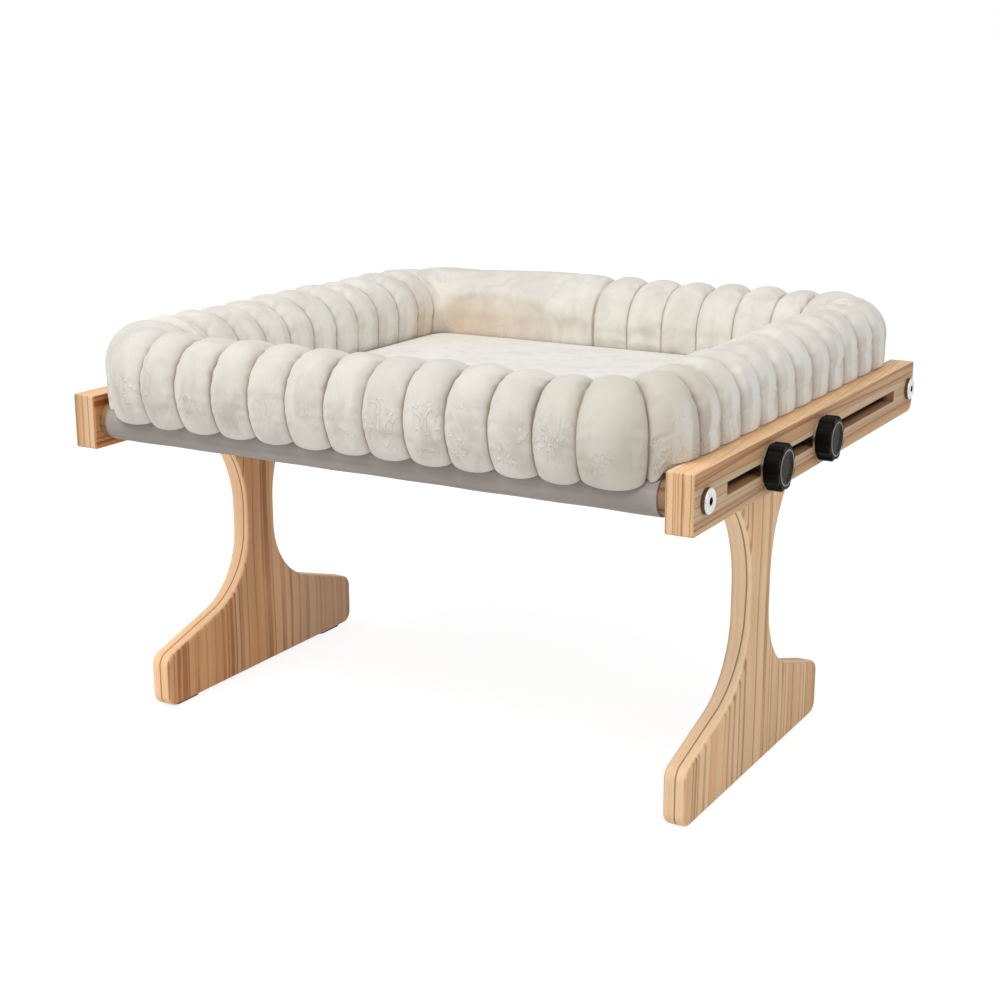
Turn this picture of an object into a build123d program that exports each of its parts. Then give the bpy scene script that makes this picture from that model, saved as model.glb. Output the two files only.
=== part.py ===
from build123d import *
from math import acos, cos, degrees, hypot, pi, sin, sqrt
import os

# A cat bed that stands at a window. Two slotted side rails and two dowels make the frame,
# a cloth sling is stretched between the dowels, and a channelled bolster cushion lies on it.
# Each of the two legs slides along the slot of its rail and is clamped by two hand knobs.
# All lengths are millimetres. X runs across the bed, +Y towards the window, Z up.
# The origin is on the floor under the middle of the bed.

os.makedirs("parts", exist_ok=True)

# Side rails
bed_width = 457.0
rail_length = 436.0
rail_height = 40.0
rail_thickness = 20.0
rail_underside = 218.0
rail_edge_round = 1.5
rail_heel_round = 9.0

# Slots that the leg bolts slide in
slot_height = 8.8
slot_front_margin = 50.0
slot_rear_margin = 49.5

# Dowels and the bolts that hold them
dowel_diameter = 25.0
front_dowel_inset = 17.0
rear_dowel_inset = 14.0
bolt_diameter = 6.0
bolt_clearance = 0.2
frame_head_diameter = 17.0
frame_head_thickness = 3.4
frame_head_chamfer = 0.8
socket_across_flats = 5.0
socket_depth = 2.2
insert_wall = 1.75
insert_length = 14.0
insert_clearance = 0.05

# Sling
cloth_thickness = 1.2
sleeve_clearance = 0.3
sleeve_end_gap = 7.0
panel_seam_inset = 3.0

# Leg boards
leg_thickness = 17.0
leg_centre = -48.5
foot_half_length = 124.5
foot_toe_height = 43.0
foot_corner_round = 10.0
arm_rise = 33.0
stem_half_width = 17.7
stem_fillet = 60.0
flare_radius = 86.0
flare_drop = 78.0
plate_bolt_margin = 11.75
plate_above_bolt = 11.0
plate_corner_round = 4.5
leg_edge_round = 3.5
slide_clearance = 0.2

# Clamp bolts, washers and foot pads
clamp_spacing = 97.5
clamp_bolt_diameter = 8.0
clamp_head_diameter = 13.0
clamp_head_thickness = 3.2
clamp_head_chamfer = 1.0
clamp_recess_depth = 4.0
recess_clearance = 0.5
washer_diameter = 30.5
washer_thickness = 1.2
pad_length = 30.0
pad_width = 9.0
pad_thickness = 2.0
pad_end_margin = 12.0

# Hand knobs
knob_diameter = 32.6
knob_height = 11.0
knob_lobes = 8
scallop_radius = 7.0
scallop_depth = 1.7
lobe_round = 1.5
knob_front_chamfer = 1.3
knob_back_chamfer = 0.6
knob_running_gap = 0.1
cap_recess_diameter = 22.6
cap_recess_depth = 1.6
cap_clearance = 0.15
cap_dish = 0.7
cap_rim_width = 1.2
cap_slope_width = 2.4
rim_width = 1.0
rim_height = 0.4
knob_insert_length = 8.4
bolt_engagement = 7.6

# Bolster of the cushion: a roll bent round a rounded rectangle, sewn across into channels
side_overhang = 8.5
end_overhang = 17.0
bolster_corner_radius = 61.0
side_roll_width = 68.0
end_roll_width = 72.0
inner_corner_radius = 6.0
front_crown = 57.0
rear_crown = 60.0
shoulder_radius = 30.0
inner_wall_top = 34.0
foot_inset = 5.0
soft_gap = 0.3
front_channels = 11
side_channels = 11
channel_end_inset = 2.0
channel_shoulder = 4.2
shoulder_share = 1 / 3
corner_seam_front = 2.0
corner_seam_rear = 16.2
plain_seam_inset = 9.0
fan_rib_share = 0.4
fan_draw_shares = ((0.3, 0.05), (0.5, 0.0), (0.7, 0.05))
seam_depth = 6.0
seam_crown_depth = 6.5
seam_inner_depth = 4.0
side_toe_inset = 1.8
side_toe_bend = 1.0
rail_reach_margin = 9.0
low_toe_length = 4.0
low_toe_rise = 2.2
low_bend_share = 0.4
lip_drop = 10.0
lip_inset = 9.0
lip_seam_rise = 3.0
lip_nose_drop = 1.0
lip_nose_share = 0.33
corner_lip_reach = 7.0

# Floor pad of the cushion
pad_gap = 2.0
floor_edge_height = 3.6
floor_crown_height = 6.8
floor_edge_draw = 2.0
floor_puff_inset = 28.0
floor_crown_inset = 80.0
floor_corner_radius = 14.0

# Cuts run this far past the faces they open
overrun = 1.0

# Places that follow from the sizes above
inner_face = bed_width / 2
outer_face = inner_face + rail_thickness
rail_middle = rail_underside + rail_height / 2
rail_top = rail_underside + rail_height
front_dowel_y = front_dowel_inset - rail_length / 2
rear_dowel_y = rail_length / 2 - rear_dowel_inset
dowel_radius = dowel_diameter / 2
bolt_radius = bolt_diameter / 2
insert_radius = bolt_radius + insert_wall
clamp_bolt_radius = clamp_bolt_diameter / 2
knob_insert_radius = clamp_bolt_radius + insert_wall
sleeve_inner = dowel_radius + sleeve_clearance
sleeve_outer = sleeve_inner + cloth_thickness
sling_top = rail_middle + sleeve_outer
sleeve_length = bed_width - 2 * sleeve_end_gap
slot_start = slot_front_margin - rail_length / 2
slot_end = rail_length / 2 - slot_rear_margin
leg_outer = inner_face - slide_clearance
leg_inner = leg_outer - leg_thickness
washer_face = outer_face + slide_clearance
knob_back = washer_face + washer_thickness + knob_running_gap
knob_front = knob_back + knob_height
clamp_places = [
    (leg_centre - clamp_spacing / 2, rail_middle),
    (leg_centre + clamp_spacing / 2, rail_middle),
]
dowel_places = [(front_dowel_y, rail_middle), (rear_dowel_y, rail_middle)]


def write(builder, name):
    builder.part.label = name
    export_step(builder.part, f"parts/{name}.step")


def across(x):
    """The plane square to X at x, seen from the right: its own axes are Y and Z."""
    return Plane.YZ.offset(x)


def cross_plane(x, place, outward=1):
    """A plane square to X at one (Y, Z) place, facing outwards or inwards."""
    return Plane(origin=(x, *place), x_dir=(0, outward, 0), z_dir=(outward, 0, 0))


def finish_side(side):
    """Everything is drawn on the right; the left one is its mirror image."""
    if side == "left":
        mirror(about=Plane.YZ, mode=Mode.REPLACE)


# Side rails, with the square-ended slot and a hole for each frame bolt
for side in ("right", "left"):
    with BuildPart() as rail:
        with BuildSketch(across(inner_face)) as rail_profile:
            with Locations((0, rail_middle)):
                Rectangle(rail_length, rail_height)
            heel = rail_profile.vertices().sort_by(Axis.X)[-2:].sort_by(Axis.Y)[0]
            fillet(heel, rail_heel_round)
        extrude(amount=rail_thickness)
        fillet(rail.edges(), rail_edge_round)
        with BuildSketch(across(inner_face)):
            with Locations(((slot_start + slot_end) / 2, rail_middle)):
                Rectangle(slot_end - slot_start, slot_height)
        extrude(amount=rail_thickness + overrun, both=True, mode=Mode.SUBTRACT)
        for place in dowel_places:
            with Locations(cross_plane(outer_face, place)):
                Hole(radius=bolt_radius + bolt_clearance, depth=rail_thickness)
        finish_side(side)
    write(rail, side + "_rail")

# Frame bolts: flat heads with a hex socket, one through each rail end into a dowel
for side in ("right", "left"):
    with BuildPart() as frame_bolts:
        bolt_tip = inner_face - insert_length
        for place in dowel_places:
            with BuildSketch(across(outer_face)):
                with Locations(place):
                    Circle(frame_head_diameter / 2)
            extrude(amount=frame_head_thickness)
        chamfer(frame_bolts.faces().sort_by(Axis.X)[-2:].edges(), frame_head_chamfer)
        for place in dowel_places:
            with BuildSketch(across(bolt_tip)):
                with Locations(place):
                    Circle(bolt_radius)
            extrude(amount=outer_face - bolt_tip)
            with BuildSketch(across(outer_face + frame_head_thickness)):
                with Locations(place):
                    RegularPolygon(socket_across_flats / 2, 6, major_radius=False)
            extrude(amount=-socket_depth, mode=Mode.SUBTRACT)
        finish_side(side)
    write(frame_bolts, side + "_frame_bolts")

# Dowels, bored at both ends for the threaded inserts
for name, place in zip(("front_dowel", "rear_dowel"), dowel_places):
    with BuildPart() as dowel:
        with BuildSketch(across(-inner_face)):
            with Locations(place):
                Circle(dowel_radius)
        extrude(amount=bed_width)
        for end in (1, -1):
            with Locations(cross_plane(end * inner_face, place, end)):
                Hole(radius=insert_radius + insert_clearance, depth=insert_length)
    write(dowel, name)

# Threaded inserts in the dowel ends
for side in ("right", "left"):
    with BuildPart() as inserts:
        with BuildSketch(across(inner_face)):
            with Locations(dowel_places):
                Circle(insert_radius)
                Circle(bolt_radius + insert_clearance, mode=Mode.SUBTRACT)
        extrude(amount=-insert_length)
        finish_side(side)
    write(inserts, side + "_dowel_inserts")

# Sling: a stretched panel that leaves the top of each sleeve, and the sleeves on the dowels
for name, place in zip(("front_sleeve", "rear_sleeve"), dowel_places):
    with BuildPart() as sleeve:
        with BuildSketch(across(-sleeve_length / 2)):
            with Locations(place):
                Circle(sleeve_outer)
                Circle(sleeve_inner, mode=Mode.SUBTRACT)
        extrude(amount=sleeve_length)
    write(sleeve, name)

with BuildPart() as sling_panel:
    with BuildSketch(across(-sleeve_length / 2)):
        panel_start = front_dowel_y + panel_seam_inset
        panel_end = rear_dowel_y - panel_seam_inset
        with Locations(((panel_start + panel_end) / 2, sling_top - cloth_thickness / 2)):
            Rectangle(panel_end - panel_start, cloth_thickness)
        with Locations(dowel_places):
            Circle(sleeve_outer, mode=Mode.SUBTRACT)
    extrude(amount=sleeve_length)
write(sling_panel, "sling_panel")

# Leg boards: a long foot, a waisted stem and a top plate that takes both clamp bolts
plate_half_width = clamp_spacing / 2 + plate_bolt_margin
arm_slope = arm_rise / (foot_half_length - stem_half_width)
flare_angle = degrees(acos(1 - (plate_half_width - stem_half_width) / flare_radius))
flare_start = rail_underside - flare_drop
plate_top = rail_middle + plate_above_bolt
for side in ("right", "left"):
    with BuildPart() as leg:
        with BuildSketch(across(leg_inner)) as leg_outline:
            with BuildLine() as half_outline:
                sole = Line((leg_centre, pad_thickness), (leg_centre + foot_half_length, pad_thickness))
                toe = Line(sole @ 1, (leg_centre + foot_half_length, foot_toe_height))
                arm = Line(toe @ 1, (leg_centre + stem_half_width, foot_toe_height + arm_rise))
                stem = Line(arm @ 1, (leg_centre + stem_half_width, flare_start))
                flare = JernArc(stem @ 1, (0, 1), flare_radius, -flare_angle)
                plate = Line(flare @ 1, (leg_centre + plate_half_width, plate_top))
                top = Line(plate @ 1, (leg_centre, plate_top))
                Line(top @ 1, sole @ 0)
            make_face()
            corners = leg_outline.vertices()
            fillet(corners.sort_by_distance(toe @ 0)[0], foot_corner_round)
            fillet(leg_outline.vertices().sort_by_distance(toe @ 1)[0], foot_corner_round)
            fillet(leg_outline.vertices().sort_by_distance(arm @ 1)[0], stem_fillet)
            fillet(leg_outline.vertices().sort_by_distance(plate @ 1)[0], plate_corner_round)
            mirror(about=Plane.YZ.offset(leg_centre))
        extrude(amount=leg_thickness)
        faces_round = leg.edges().group_by(Axis.X)
        fillet(faces_round[0] + faces_round[-1], leg_edge_round)
        for place in clamp_places:
            with Locations(cross_plane(leg_inner, place, -1)):
                CounterBoreHole(
                    radius=clamp_bolt_radius + bolt_clearance,
                    counter_bore_radius=clamp_head_diameter / 2 + recess_clearance,
                    counter_bore_depth=clamp_recess_depth,
                )
        finish_side(side)
    write(leg, side + "_leg")

# Clamp bolts: round heads sunk in the leg's inner face, shanks through the slot to the knobs
for side in ("right", "left"):
    with BuildPart() as clamp_bolts:
        head_seat = leg_inner + clamp_recess_depth
        with BuildSketch(across(head_seat)):
            with Locations(clamp_places):
                Circle(clamp_head_diameter / 2)
        extrude(amount=-clamp_head_thickness)
        chamfer(clamp_bolts.faces().sort_by(Axis.X)[:2].edges(), clamp_head_chamfer)
        with BuildSketch(across(head_seat)):
            with Locations(clamp_places):
                Circle(clamp_bolt_radius)
        extrude(amount=knob_back + bolt_engagement - head_seat)
        finish_side(side)
    write(clamp_bolts, side + "_clamp_bolts")

# Wide washers that spread each knob's clamping force over the edges of the slot
for side in ("right", "left"):
    with BuildPart() as washers:
        with BuildSketch(across(washer_face)):
            with Locations(clamp_places):
                Circle(washer_diameter / 2)
                Circle(clamp_bolt_radius + bolt_clearance, mode=Mode.SUBTRACT)
        extrude(amount=washer_thickness)
        finish_side(side)
    write(washers, side + "_washers")

# Rubber pads under the toes of each leg
pad_reach = foot_half_length - pad_end_margin - pad_length / 2
for side in ("right", "left"):
    for end, direction in (("front", -1), ("rear", 1)):
        with BuildPart() as foot_pad:
            with BuildSketch(Plane.XY):
                with Locations((leg_outer - leg_thickness / 2, leg_centre + direction * pad_reach)):
                    SlotOverall(pad_length, pad_width, rotation=90)
            extrude(amount=pad_thickness)
            finish_side(side)
        write(foot_pad, f"{side}_{end}_foot_pad")

# Hand knobs: lobed grips with a raised rim, a dished cap and a brass insert
for side in ("right", "left"):
    for end, place in zip(("front", "rear"), clamp_places):
        with BuildPart() as knob:
            with BuildSketch(across(knob_back)) as grip:
                with Locations(place):
                    Circle(knob_diameter / 2)
                    with PolarLocations(knob_diameter / 2 + scallop_radius - scallop_depth, knob_lobes):
                        Circle(scallop_radius, mode=Mode.SUBTRACT)
                fillet(grip.vertices(), lobe_round)
            extrude(amount=knob_height)
            chamfer(knob.faces().sort_by(Axis.X)[-1].edges(), knob_front_chamfer)
            chamfer(knob.faces().sort_by(Axis.X)[0].edges(), knob_back_chamfer)
            with BuildSketch(across(knob_front)):
                with Locations(place):
                    Circle(cap_recess_diameter / 2 + rim_width)
            extrude(amount=rim_height)
            with BuildSketch(across(knob_front + rim_height)):
                with Locations(place):
                    Circle(cap_recess_diameter / 2)
            extrude(amount=-cap_recess_depth - rim_height, mode=Mode.SUBTRACT)
            with Locations(cross_plane(knob_back, place, -1)):
                Hole(radius=knob_insert_radius + insert_clearance, depth=knob_insert_length)
            finish_side(side)
        write(knob, f"{side}_{end}_knob")

        with BuildPart() as knob_cap:
            cap_radius = cap_recess_diameter / 2 - cap_clearance
            cap_seat = knob_front - cap_recess_depth
            with BuildSketch(Plane(origin=(cap_seat, *place), x_dir=(0, 1, 0), z_dir=(0, 0, -1))):
                with BuildLine():
                    base = Line((0, 0), (cap_radius, 0))
                    edge = Line(base @ 1, (cap_radius, cap_recess_depth))
                    land = Line(edge @ 1, (cap_radius - cap_rim_width, cap_recess_depth))
                    slope_end = cap_radius - cap_rim_width - cap_slope_width
                    slope = Line(land @ 1, (slope_end, cap_recess_depth - cap_dish))
                    dish = Line(slope @ 1, (0, cap_recess_depth - cap_dish))
                    Line(dish @ 1, base @ 0)
                make_face()
            revolve(axis=Axis((cap_seat, *place), (1, 0, 0)))
            finish_side(side)
        write(knob_cap, f"{side}_{end}_knob_cap")

        with BuildPart() as knob_insert:
            with BuildSketch(across(knob_back)):
                with Locations(place):
                    Circle(knob_insert_radius)
                    Circle(clamp_bolt_radius + insert_clearance, mode=Mode.SUBTRACT)
            extrude(amount=knob_insert_length)
            finish_side(side)
        write(knob_insert, f"{side}_{end}_knob_insert")

# Bolster. Its outline is followed by the distance run from the middle of the front edge,
# towards the right rail, along the back and home along the left rail.
bolster_half_width = inner_face + side_overhang
bolster_half_length = rail_length / 2 + end_overhang
corner_x = bolster_half_width - bolster_corner_radius
corner_y = bolster_half_length - bolster_corner_radius
corner_run = bolster_corner_radius * pi / 2
side_start = corner_x + corner_run
side_end = side_start + 2 * corner_y
half_run = side_end + corner_run + corner_x
channel_pitch = 2 * (corner_x - channel_end_inset) / front_channels
pivot_x = bolster_half_width - side_roll_width - inner_corner_radius
pivot_y = bolster_half_length - end_roll_width - inner_corner_radius
bolster_bottom = sling_top + soft_gap


def outline_point(run):
    """The point of the right half of the bolster's outline at this run."""
    if run <= corner_x:
        return run, -bolster_half_length
    if run < side_start:
        turn = (run - corner_x) / bolster_corner_radius
        reach_x = corner_x + bolster_corner_radius * sin(turn)
        return reach_x, -corner_y - bolster_corner_radius * cos(turn)
    if run <= side_end:
        return bolster_half_width, run - side_start - corner_y
    if run < half_run - corner_x:
        turn = (run - side_end) / bolster_corner_radius
        reach_x = corner_x + bolster_corner_radius * cos(turn)
        return reach_x, corner_y + bolster_corner_radius * sin(turn)
    return half_run - run, bolster_half_length


def section_frame(run):
    """Foot of the inner wall, outward heading and roll width at this run of the right half."""
    x, y = outline_point(run)
    if abs(y) <= pivot_y:
        return (bolster_half_width - side_roll_width, y), (1, 0), side_roll_width
    end = 1 if y > 0 else -1
    if x <= pivot_x:
        return (x, end * (bolster_half_length - end_roll_width)), (0, end), end_roll_width
    reach_x = x - pivot_x
    reach_y = y - end * pivot_y
    reach = hypot(reach_x, reach_y)
    heading = (reach_x / reach, reach_y / reach)
    foot = (pivot_x + inner_corner_radius * heading[0], end * pivot_y + inner_corner_radius * heading[1])
    return foot, heading, reach - inner_corner_radius


def crown_height(run):
    """The front roll is a little lower than the others and rises round the front corner."""
    share = min(max((run - corner_x) / corner_run, 0), 1)
    return sling_top + front_crown + share * (rear_crown - front_crown)


def foot_points(foot, heading, width, drawn):
    """Outer foot of the roll: on the side rail, on the sling, or a lip that hangs before the dowel."""
    dowel_y = abs(front_dowel_y if heading[1] < 0 else rear_dowel_y)
    wedge = dowel_y + rail_middle + (sleeve_outer + 2 * soft_gap) * sqrt(2)
    cornering = (2 * heading[0] * heading[1]) ** 2
    reach = width - lip_inset + cornering * (corner_lip_reach - seam_depth * drawn)
    if heading[0] > 0:
        reach = min(reach, (inner_face - 2 * soft_gap - foot[0]) / heading[0])
    tip_z = wedge - abs(foot[1]) - abs(heading[1]) * reach
    if tip_z > bolster_bottom - soft_gap:
        toe = width - side_toe_inset - seam_depth * drawn
        rail_reach = (inner_face - soft_gap - foot[0]) / heading[0]
        if toe < rail_reach - rail_reach_margin:
            return [
                (toe - low_toe_length, bolster_bottom),
                (toe - low_toe_length / 2, bolster_bottom + low_bend_share * low_toe_rise),
                (toe, bolster_bottom + low_toe_rise),
            ]
        bend = min(rail_reach, toe - side_toe_bend)
        seat = rail_top + soft_gap
        return [(bend - side_toe_bend, bolster_bottom), (bend, seat), (toe, seat)]
    tip_z = max(tip_z, sling_top - lip_drop + lip_seam_rise * drawn)
    lip_start = (wedge - bolster_bottom - abs(foot[1])) / abs(heading[1])
    lip_tip = (wedge - tip_z - abs(foot[1])) / abs(heading[1])
    lip_nose = lip_tip + lip_nose_share * (width - lip_tip - seam_depth * drawn)
    return [(lip_start, bolster_bottom), (lip_tip, tip_z), (lip_nose, tip_z - lip_nose_drop)]


def bolster_section(run, drawn, flip):
    """One cross-section of the roll; drawn is 1 in a sewn seam and 0 on top of a channel."""
    foot, heading, width = section_frame(run)
    crown = crown_height(run) - seam_crown_depth * drawn
    outer = width - seam_depth * drawn
    inner = seam_inner_depth * drawn
    points = foot_points(foot, heading, width, drawn)
    plane = Plane(
        origin=(flip * foot[0], foot[1], 0),
        x_dir=(flip * heading[0], heading[1], 0),
        z_dir=(heading[1], -flip * heading[0], 0),
    )
    with BuildSketch(plane) as section:
        with BuildLine():
            Polyline((foot_inset, bolster_bottom), *points)
            TangentArc((outer, crown - shoulder_radius), points[-1], tangent=(0, -1))
            TangentArc((outer, crown - shoulder_radius), (outer - shoulder_radius, crown), tangent=(0, 1))
            TangentArc((outer - shoulder_radius, crown), (inner, crown - inner_wall_top), tangent=(-1, 0))
            TangentArc((inner, crown - inner_wall_top), (foot_inset, bolster_bottom), tangent=(0, -1))
        make_face()
    return section.sketch


def channel_seams(plain):
    """Runs of the seams on one half; a plain half has none from its rear corner to the middle."""
    front = [channel_pitch * (count + 1 / 2) for count in range(front_channels // 2 + 1)]
    first = side_start - corner_seam_front
    last = side_end - plain_seam_inset if plain else side_end + corner_seam_rear
    side = [first + (last - first) * count / side_channels for count in range(side_channels + 1)]
    front_corner = corner_x + corner_run / 2
    if plain:
        return sorted([*front, front_corner, *side, half_run - front[0]])
    back = [half_run - run for run in front]
    return sorted([*front, front_corner, *side, half_run - front_corner, *back])


def channel_stations(plain):
    """Pairs of run and draw-in from the middle of the front channel to that of the back one."""
    seams = channel_seams(plain)
    stations = [(0, 0), (seams[0] - channel_shoulder, shoulder_share)]
    for start, end in zip(seams, seams[1:]):
        length = end - start
        stations += [(start, 1), (start + channel_shoulder, shoulder_share)]
        if length > corner_run:
            steps = round(2 * length / channel_pitch)
            stations += [(start + length * count / steps, 0) for count in range(1, steps)]
        elif length > fan_rib_share * corner_run:
            stations += [(start + length * share, drawn) for share, drawn in fan_draw_shares]
        else:
            stations += [(start + length / 2, 0)]
        stations += [(end - channel_shoulder, shoulder_share)]
    stations += [(seams[-1], 1), (seams[-1] + channel_shoulder, shoulder_share), (half_run, 0)]
    return stations


with BuildPart() as bolster:
    for flip, plain in ((1, False), (-1, True)):
        loft([bolster_section(run, drawn, flip) for run, drawn in channel_stations(plain)], ruled=True)
write(bolster, "bolster")

# Floor pad inside the bolster, with drawn-in edges and a low crown
floor_half_width = bolster_half_width - side_roll_width + foot_inset - pad_gap
floor_half_length = bolster_half_length - end_roll_width + foot_inset - pad_gap
floor_levels = [
    (0, floor_edge_draw),
    (floor_edge_height / 2, 0),
    (floor_edge_height, floor_edge_draw),
    ((floor_edge_height + floor_crown_height) / 2, floor_puff_inset),
    (floor_crown_height, floor_crown_inset),
]
with BuildPart() as floor_pad:
    for height, inset in floor_levels:
        with BuildSketch(Plane.XY.offset(bolster_bottom + height)):
            RectangleRounded(
                2 * (floor_half_width - inset),
                2 * (floor_half_length - inset),
                floor_corner_radius,
            )
    loft(ruled=True)
write(floor_pad, "floor_pad")
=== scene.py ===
import math
import bpy
import numpy as np
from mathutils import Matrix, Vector


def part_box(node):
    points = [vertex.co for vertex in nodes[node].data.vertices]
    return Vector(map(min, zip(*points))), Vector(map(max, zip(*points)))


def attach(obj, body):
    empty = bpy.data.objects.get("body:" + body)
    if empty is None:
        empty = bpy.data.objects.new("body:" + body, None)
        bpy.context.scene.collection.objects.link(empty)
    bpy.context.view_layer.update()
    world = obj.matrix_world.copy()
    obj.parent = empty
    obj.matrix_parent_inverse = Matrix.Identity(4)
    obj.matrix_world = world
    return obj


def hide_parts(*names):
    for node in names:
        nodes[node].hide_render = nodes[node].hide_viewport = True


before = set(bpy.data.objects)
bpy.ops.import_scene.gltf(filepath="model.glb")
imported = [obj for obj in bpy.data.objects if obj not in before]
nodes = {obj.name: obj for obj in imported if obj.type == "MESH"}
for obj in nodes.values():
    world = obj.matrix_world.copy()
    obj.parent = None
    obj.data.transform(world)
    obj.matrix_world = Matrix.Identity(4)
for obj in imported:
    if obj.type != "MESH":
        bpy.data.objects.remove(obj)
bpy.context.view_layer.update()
rng = np.random.default_rng(11)
MM = 0.001
TINY = 1e-9
X, Y, Z = range(3)


# Colours, as seen on screen

def srgb(*values):
    """Turns a screen colour, 0 to 255, to a linear one."""
    return tuple((v / 255 / 12.92) if v <= 10 else ((v / 255 + 0.055) / 1.055) ** 2.4 for v in values)


PINE, PINE_BAND, PINE_PATCH = srgb(233, 199, 159), srgb(214, 170, 125), srgb(210, 178, 143)
PINE_EDGE, PINE_TOP_LIGHT, PINE_HEEL = srgb(252, 222, 185), srgb(246, 208, 164), srgb(212, 194, 176)
PINE_STRIPE, PINE_SHADE, PINE_FIBRE = srgb(224, 205, 176), srgb(196, 143, 94), srgb(176, 128, 86)
PINE_LINE, PINE_FINE_LINE, PINE_RING = srgb(152, 96, 52), srgb(178, 125, 78), srgb(158, 102, 58)
PINE_SEAM, SLOT_WALL_SHADE, SLOT_DEEP_SHADOW = srgb(132, 84, 46), srgb(128, 80, 44), srgb(24, 16, 11)
CRUSHED_PILE_AND_SHADE, PILE_MARK, WARM_CORNER_SHADE = srgb(186, 175, 165), srgb(240, 237, 230), srgb(214, 186, 154)
FRONT_CROWN_SHADE, RAIL_SIDE_SHADE, RIB_CREST_HIGHLIGHT = srgb(204, 199, 190), srgb(200, 189, 174), srgb(243, 240, 233)
DEEP_FOLD_SHADE, SHALLOW_FOLD_SHADE, SEAM_CORE_SHADE = srgb(160, 148, 132), srgb(176, 163, 146), srgb(130, 116, 99)
CLOTH, CLOTH_STREAK, CLOTH_CLOUD = srgb(181, 171, 165), srgb(168, 158, 152), srgb(158, 148, 142)
CLOTH_GAP, CLOTH_STITCH = srgb(120, 110, 104), srgb(176, 167, 160)
ZINC, ZINC_STAIN = srgb(222, 220, 216), srgb(194, 191, 186)
SOCKET_SHADOW, HEAD_WALL_REFLECTION = srgb(22, 20, 19), srgb(96, 76, 60)
KNOB, KNOB_CLOUD, KNOB_RIM_HIGHLIGHT = srgb(14, 12, 10), srgb(19, 17, 15), srgb(158, 152, 146)
CAP, CAP_CLOUD = srgb(37, 31, 22), srgb(47, 40, 29)
RUBBER, RUBBER_GRAIN = srgb(38, 36, 35), srgb(58, 55, 53)
BRASS, BRASS_LINE = srgb(206, 172, 100), srgb(176, 140, 74)
FLOOR_LIT = srgb(226, 225, 223), srgb(232, 231, 229)
FLOOR_SEEN = srgb(150, 150, 150), srgb(153, 153, 153)
WHITE = (1, 1, 1, 1)
SKY = (0.94, 0.97, 1.0, 1)


# Node graphs

class Graph:
    """A short way of writing a node tree."""

    def __init__(self, owner, output):
        owner.use_nodes = True
        self.owner = owner
        self.tree = owner.node_tree
        self.tree.nodes.clear()
        self.out = self.tree.nodes.new(output)

    def node(self, kind, settings=None, **inputs):
        made = self.tree.nodes.new(kind)
        for key, value in (settings or {}).items():
            setattr(made, key, value)
        for key, value in inputs.items():
            self.set(made, key, value)
        return made

    def set(self, made, key, value):
        """Sets or links one input, which is called by its label, or by i and its number."""
        numbered = key[0] == "i" and key[1:].isdigit()
        socket = made.inputs[int(key[1:])] if numbered else made.inputs[key.replace("_", " ")]
        if isinstance(value, bpy.types.NodeSocket):
            self.tree.links.new(value, socket)
        else:
            socket.default_value = value

    def math(self, operation, a, b=0.0, c=0.0, clamp=False):
        settings = {"operation": operation, "use_clamp": clamp}
        return self.node("ShaderNodeMath", settings, i0=a, i1=b, i2=c).outputs[0]

    def times(self, first, *others):
        for other in others:
            first = self.math("MULTIPLY", first, other)
        return first

    def apart(self, a, b):
        """How far two values are from each other."""
        return self.math("ABSOLUTE", self.math("SUBTRACT", a, b))

    def stray(self, value, noise, amount):
        """The value, moved by a noise that is 0.5 on average."""
        return self.math("MULTIPLY_ADD", self.math("SUBTRACT", noise, 0.5), amount, value)

    def split(self, vector):
        return self.node("ShaderNodeSeparateXYZ", i0=vector).outputs

    def join(self, x, y, z):
        return self.node("ShaderNodeCombineXYZ", i0=x, i1=y, i2=z).outputs[0]

    def noise(self, vector, scale=1.0, detail=2.0, roughness=0.5, distortion=0.0):
        values = {"Vector": vector, "Scale": scale, "Detail": detail, "Roughness": roughness, "Distortion": distortion}
        return self.node("ShaderNodeTexNoise", None, **values).outputs["Fac"]

    def spread(self, value, low, high, to_low=0.0, to_high=1.0, kind="SMOOTHSTEP"):
        """Maps the range low to high onto to_low to to_high, and holds the ends beyond it."""
        settings = {"interpolation_type": kind}
        return self.node("ShaderNodeMapRange", settings, i0=value, i1=low, i2=high, i3=to_low, i4=to_high).outputs[0]

    def within(self, value, low, high, most=1.0):
        """A mask that is full up to low, and gone from high on."""
        return self.spread(value, low, high, most, 0.0)

    def between(self, mask, off, on):
        """One value where the mask is 0, another where it is 1."""
        return self.spread(mask, 0.0, 1.0, off, on, "LINEAR")

    def mix(self, factor, a, b, blend="MIX"):
        made = self.node("ShaderNodeMix", {"data_type": "RGBA", "blend_type": blend})
        for key, value in (("i0", factor), ("i6", a), ("i7", b)):
            self.set(made, key, (*value, 1) if isinstance(value, tuple) else value)
        return made.outputs[2]

    def show(self, lit, seen):
        """Ends the tree: one shader for the rays that see it, another for those that only carry its light."""
        path = self.node("ShaderNodeLightPath").outputs
        direct = self.math("MAXIMUM", path["Is Camera Ray"], path["Is Glossy Ray"])
        direct = self.math("MAXIMUM", direct, path["Is Transmission Ray"])
        mixed = self.node("ShaderNodeMixShader", None, i0=direct, i1=lit.outputs[0], i2=seen.outputs[0])
        self.tree.links.new(mixed.outputs[0], self.out.inputs[0])


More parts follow.
